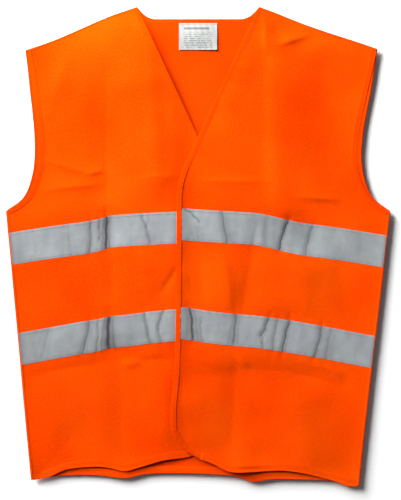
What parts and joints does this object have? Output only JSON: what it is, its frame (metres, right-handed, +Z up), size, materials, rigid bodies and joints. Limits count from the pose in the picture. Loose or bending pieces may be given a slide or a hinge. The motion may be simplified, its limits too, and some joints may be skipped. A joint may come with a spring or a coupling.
{
  "type": "high visibility vest",
  "caption": "Sleeveless orange safety vest lying flat, with reflective tapes round the body and a hook-and-loop front that folds open.",
  "frame": {"origin": "centre of the footprint on the floor that the back of the vest lies on", "axes": "+Y towards the neck, +Z up out of the chest, +X towards the wearer's left"},
  "size_m": [0.602, 0.753, 0.0093],
  "materials": {
    "shell_cloth": "fluorescent orange warp-knit polyester, matt with a faint sheen",
    "edge_binding": "folded orange polyester tape, matt",
    "reflective_tape": "silver glass-bead reflective, satin",
    "hook_pad": "stiff hooks",
    "loop_pad": "brushed loops",
    "label": "white satin ribbon"
  },
  "bodies": {
    "back": {"back_panel": "shell_cloth", "back_neck_binding": "edge_binding", "back_upper_tape": "reflective_tape", "back_lower_tape": "reflective_tape", "left_armhole_back_binding": "edge_binding", "right_armhole_back_binding": "edge_binding", "left_front_side_panel": "shell_cloth", "left_upper_tape_side": "reflective_tape", "left_lower_tape_side": "reflective_tape", "left_armhole_front_binding": "edge_binding", "right_front_side_panel": "shell_cloth", "right_upper_tape_side": "reflective_tape", "right_lower_tape_side": "reflective_tape", "right_armhole_front_binding": "edge_binding"},
    "left_front": {"left_front_panel": "shell_cloth", "left_upper_tape": "reflective_tape", "left_lower_tape": "reflective_tape", "left_front_edge_binding": "edge_binding", "upper_loop_pad": "loop_pad", "lower_loop_pad": "loop_pad"},
    "right_front": {"right_front_panel": "shell_cloth", "right_upper_tape": "reflective_tape", "right_lower_tape": "reflective_tape", "right_front_edge_binding": "edge_binding", "upper_hook_pad": "hook_pad", "lower_hook_pad": "hook_pad"},
    "care_label_body": {"care_label": "label"}
  },
  "joints": [
    {"name": "left_front_open", "type": "hinge", "parent": "back", "child": "left_front", "pos_m": [0.249, -0.37601, 0.0075], "axis": [-0.1992, 0.98, 0], "range_deg": [0, 165]},
    {"name": "right_front_open", "type": "hinge", "parent": "back", "child": "right_front", "pos_m": [-0.112, -0.35564, 0.0075], "axis": [-0.0218, -0.9998, 0], "range_deg": [0, 132]},
    {"name": "label_flip", "type": "hinge", "parent": "back", "child": "care_label_body", "pos_m": [0, 0.3515, 0.0031], "axis": [-1, 0, 0], "range_deg": [0, 170]}
  ],
  "couplings": [
    {"joint": "right_front_open", "follows": "left_front_open", "ratio": 0.8}
  ]
}
